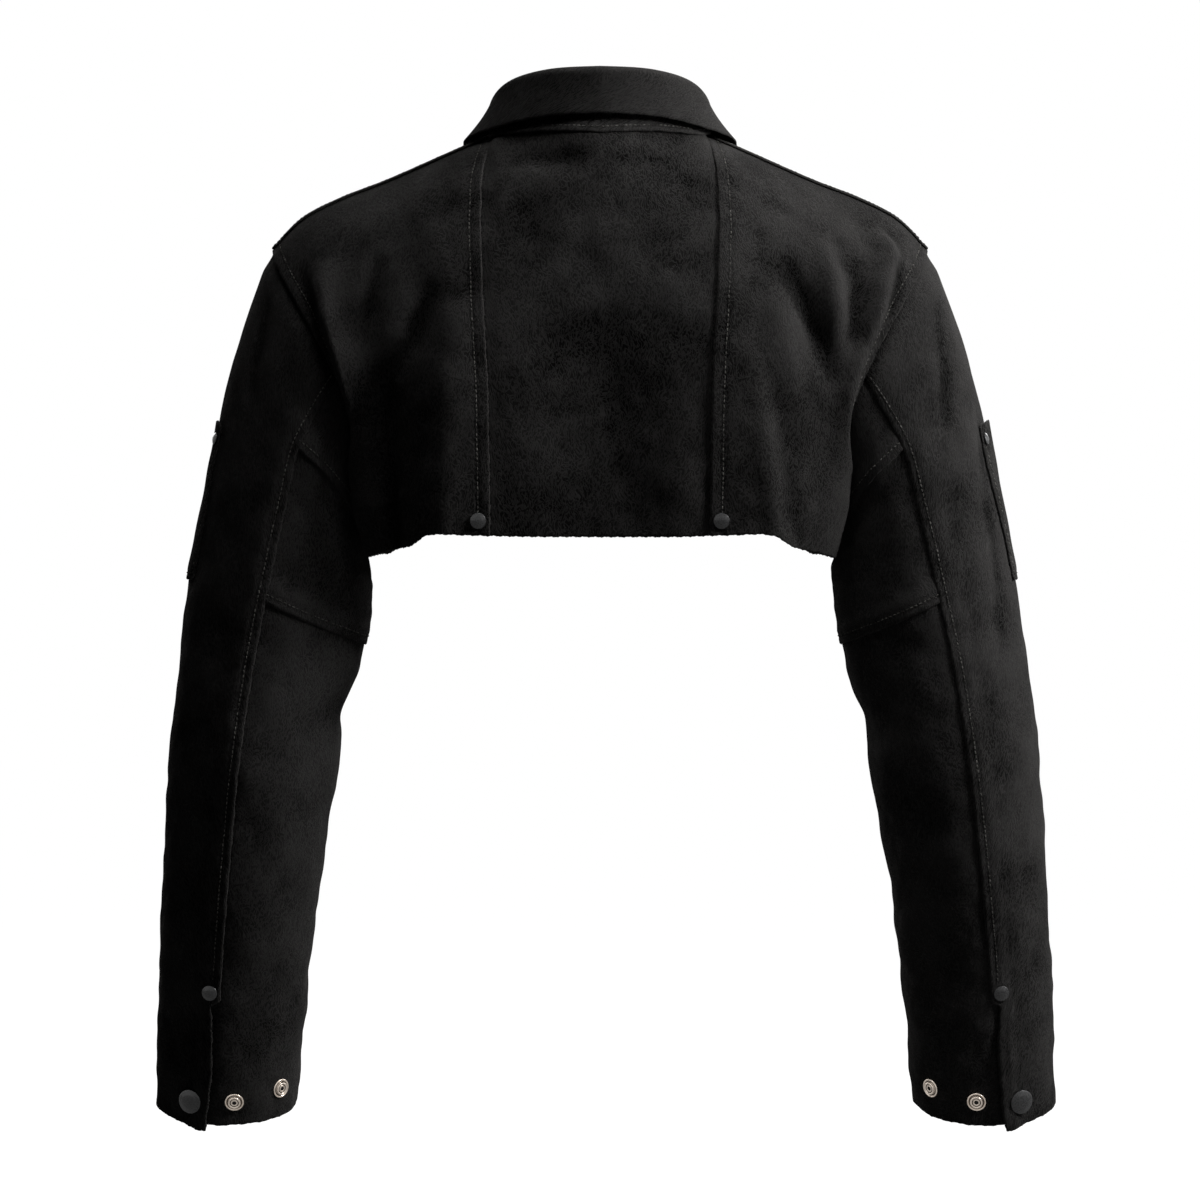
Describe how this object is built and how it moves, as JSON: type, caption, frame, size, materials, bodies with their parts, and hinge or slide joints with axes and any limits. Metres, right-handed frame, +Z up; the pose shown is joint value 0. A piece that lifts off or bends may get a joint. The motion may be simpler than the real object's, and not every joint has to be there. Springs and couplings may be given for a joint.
{
  "type": "welding cape sleeve",
  "caption": "Cropped suede welding cape with full sleeves, turned-down collar, lapped and riveted seams, patch pockets on the upper arms and slit cuffs with snaps.",
  "frame": {"origin": "base of the neck at the back, between the two shoulders that carry the cape", "axes": "+Z up, +Y to the wearer's front, +X to the wearer's right"},
  "size_m": [0.7006, 0.2437, 0.8083],
  "materials": {
    "suede": "black split leather with a soft matte nap",
    "black_metal": "smooth black enamel, half gloss",
    "steel": "bright nickel-plated steel"
  },
  "bodies": {
    "root": {"back_panel": "suede", "collar_band": "suede", "collar_leaf": "suede", "front_snap_1": "black_metal", "front_snap_2": "black_metal", "front_snap_3": "black_metal", "back_side_right": "suede", "front_right": "suede", "outer_sleeve_right": "suede", "under_sleeve_top_right": "suede", "under_sleeve_gusset_right": "suede", "under_sleeve_lower_right": "suede", "sleeve_pocket_right": "suede", "pocket_rivet_front_right": "black_metal", "pocket_rivet_back_right": "black_metal", "back_rivet_right": "black_metal", "slit_rivet_right": "black_metal", "cuff_cap_right": "black_metal", "cuff_stud_back_right": "steel", "cuff_stud_inner_right": "steel", "back_side_left": "suede", "front_left": "suede", "outer_sleeve_left": "suede", "under_sleeve_top_left": "suede", "under_sleeve_gusset_left": "suede", "under_sleeve_lower_left": "suede", "sleeve_pocket_left": "suede", "pocket_rivet_front_left": "black_metal", "pocket_rivet_back_left": "black_metal", "back_rivet_left": "black_metal", "slit_rivet_left": "black_metal", "cuff_cap_left": "black_metal", "cuff_stud_back_left": "steel", "cuff_stud_inner_left": "steel"}
  },
  "joints": []
}
